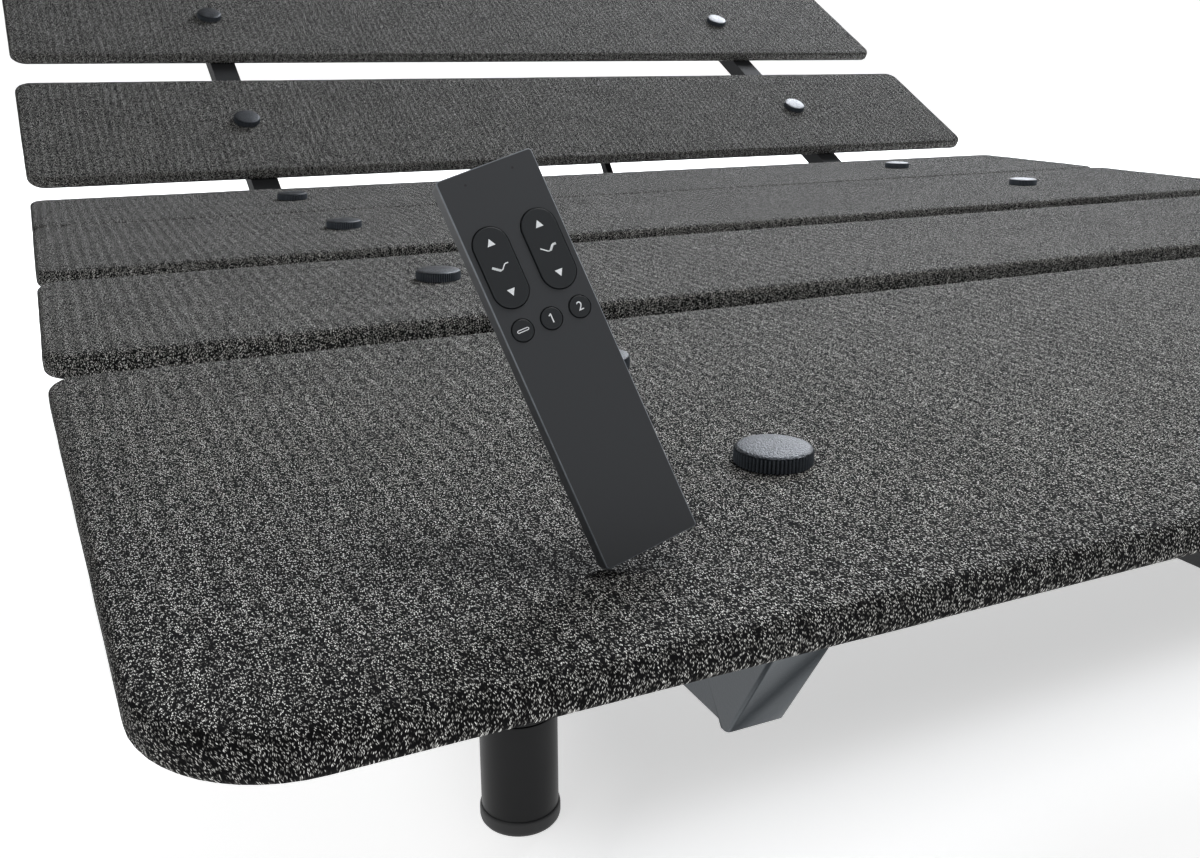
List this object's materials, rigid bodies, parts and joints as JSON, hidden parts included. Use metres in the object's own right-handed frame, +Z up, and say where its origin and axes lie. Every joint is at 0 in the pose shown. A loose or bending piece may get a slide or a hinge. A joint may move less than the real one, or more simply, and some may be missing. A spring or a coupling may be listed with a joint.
{
  "type": "adjustable bed base",
  "caption": "Adjustable bed base: knit-covered deck boards on a hinged steel frame that raises head and legs, on stacked round legs, with push-rod drives and a push-button handset.",
  "frame": {"origin": "on the floor under the middle of the object as it stands, with the head section raised", "axes": "+X across the bed to the right as seen from the foot end, +Y from the foot end to the head end, +Z up"},
  "size_m": [1.52, 1.9418, 0.6179],
  "materials": {
    "frame_steel": "satin powder coat, blue-grey",
    "deck_steel": "satin powder coat, black",
    "leg_steel": "satin black",
    "foot_cap": "moulded, matte",
    "pad_rubber": "matte",
    "plated_steel": "zinc plated",
    "plywood": "raw",
    "knit_cover": "charcoal salt-and-pepper knit",
    "knob_plastic": "fine grain",
    "drive_tube": "black anodised",
    "drive_housing": "moulded, fine texture",
    "control_housing": "moulded, fine texture",
    "inlet_plastic": "moulded",
    "handset_plastic": "soft matte",
    "key_plastic": "soft matte"
  },
  "bodies": {
    "chassis": {"side_rails": "frame_steel", "foot_rail_caps": "frame_steel", "head_rail_caps": "frame_steel", "cross_beams": "frame_steel", "leg_brackets": "frame_steel", "legs_upper": "leg_steel", "legs_lower": "leg_steel", "leg_caps": "foot_cap", "deck_posts": "frame_steel", "deck_pads": "pad_rubber", "seat_uprights": "frame_steel", "seat_rails": "deck_steel", "seat_cross_tubes": "deck_steel", "seat_hinge_cheeks": "deck_steel", "seat_hinge_pins": "plated_steel", "link_brackets": "deck_steel", "seat_front_board": "plywood", "seat_front_cover": "knit_cover", "seat_rear_board": "plywood", "seat_rear_cover": "knit_cover", "seat_knobs": "knob_plastic", "head_drive_tube": "drive_tube", "head_drive_motor": "drive_housing", "thigh_drive_tube": "drive_tube", "thigh_drive_motor": "drive_housing", "drive_clamps": "frame_steel", "control_box": "control_housing", "power_inlet": "inlet_plastic"},
    "thigh": {"thigh_rails": "deck_steel", "thigh_cross_tubes": "deck_steel", "thigh_lever": "deck_steel", "knee_cheeks": "deck_steel", "knee_pins": "plated_steel", "thigh_board": "plywood", "thigh_cover": "knit_cover", "thigh_knobs": "knob_plastic"},
    "calf": {"calf_rails": "deck_steel", "calf_cross_tubes": "deck_steel", "calf_link_brackets": "deck_steel", "foot_board": "plywood", "foot_cover": "knit_cover", "foot_knobs": "knob_plastic"},
    "links": {"level_links": "deck_steel"},
    "head": {"head_rails": "deck_steel", "head_cross_tubes": "deck_steel", "head_lever": "deck_steel", "head_lower_board": "plywood", "head_lower_cover": "knit_cover", "head_upper_board": "plywood", "head_upper_cover": "knit_cover", "head_knobs": "knob_plastic"},
    "head_rod": {"head_push_rod": "plated_steel"},
    "thigh_rod": {"thigh_push_rod": "plated_steel"},
    "handset": {"handset_shell": "handset_plastic"},
    "rocker_head": {"rocker_head": "key_plastic"},
    "rocker_legs": {"rocker_legs": "key_plastic"},
    "button_flat": {"button_flat": "key_plastic"},
    "button_one": {"button_one": "key_plastic"},
    "button_two": {"button_two": "key_plastic"}
  },
  "joints": [
    {"name": "head_hinge", "type": "hinge", "parent": "chassis", "child": "head", "pos_m": [0, 0.37108, 0.2715], "axis": [1, 0, 0], "range_deg": [-28, 32]},
    {"name": "head_push", "type": "slide", "parent": "chassis", "child": "head_rod", "axis": [0, 1, 0], "range_m": [-0.0556, 0.0635]},
    {"name": "thigh_hinge", "type": "hinge", "parent": "chassis", "child": "thigh", "pos_m": [0, -0.21192, 0.2715], "axis": [-1, 0, 0], "range_deg": [0, 40]},
    {"name": "thigh_push", "type": "slide", "parent": "chassis", "child": "thigh_rod", "axis": [0, -1, 0], "range_m": [0, 0.0761]},
    {"name": "knee_hinge", "type": "hinge", "parent": "thigh", "child": "calf", "pos_m": [0, -0.52342, 0.2715], "axis": [1, 0, 0], "range_deg": [0, 40]},
    {"name": "level_link_hinge", "type": "hinge", "parent": "chassis", "child": "links", "pos_m": [0, -0.21192, 0.2195], "axis": [-1, 0, 0], "range_deg": [0, 40]},
    {"name": "handset_lift", "type": "slide", "parent": "calf", "child": "handset", "axis": [0, 0, 1], "range_m": [0, 0.25]},
    {"name": "rocker_head_tilt", "type": "hinge", "parent": "handset", "child": "rocker_head", "pos_m": [-0.60757, -0.87442, 0.40354], "axis": [0.9578, 0, 0.2874], "range_deg": [-3.5, 3.5], "stiffness_Nm_per_rad": 0.06},
    {"name": "rocker_legs_tilt", "type": "hinge", "parent": "handset", "child": "rocker_legs", "pos_m": [-0.58956, -0.87442, 0.40894], "axis": [0.9578, 0, 0.2874], "range_deg": [-3.5, 3.5], "stiffness_Nm_per_rad": 0.06},
    {"name": "button_flat_press", "type": "slide", "parent": "handset", "child": "button_flat", "axis": [0.1104, 0.9232, -0.3681], "range_m": [0, 0.0009], "stiffness_N_per_m": 400},
    {"name": "button_one_press", "type": "slide", "parent": "handset", "child": "button_one", "axis": [0.1104, 0.9232, -0.3681], "range_m": [0, 0.0009], "stiffness_N_per_m": 400},
    {"name": "button_two_press", "type": "slide", "parent": "handset", "child": "button_two", "axis": [0.1104, 0.9232, -0.3681], "range_m": [0, 0.0009], "stiffness_N_per_m": 400}
  ],
  "couplings": [
    {"joint": "head_push", "follows": "head_hinge", "m_per_rad": 0.11364},
    {"joint": "thigh_push", "follows": "thigh_hinge", "m_per_rad": 0.10884},
    {"joint": "knee_hinge", "follows": "thigh_hinge", "ratio": 1},
    {"joint": "level_link_hinge", "follows": "thigh_hinge", "ratio": 1}
  ]
}
